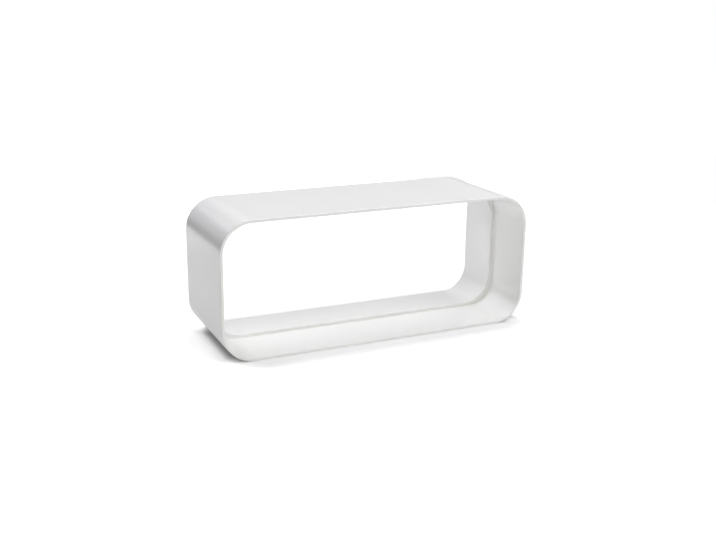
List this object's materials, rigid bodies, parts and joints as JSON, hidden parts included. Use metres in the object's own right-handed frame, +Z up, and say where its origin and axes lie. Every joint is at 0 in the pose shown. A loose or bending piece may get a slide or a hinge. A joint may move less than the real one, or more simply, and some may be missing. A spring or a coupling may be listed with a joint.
{
  "type": "rectangular duct connector",
  "caption": "Short moulded sleeve of rounded-rectangle section, open at each end, with an inner stop rib; joins flat air ducts end to end.",
  "frame": {"origin": "centre of the sleeve, on the duct's axis and in the middle plane of the stop rib", "axes": "+X across the wide side of the duct, +Y along the duct's axis, +Z up across the narrow side"},
  "size_m": [0.227, 0.079, 0.094],
  "materials": {
    "white_plastic": "satin"
  },
  "bodies": {
    "root": {"connector_sleeve": "white_plastic"}
  },
  "joints": []
}
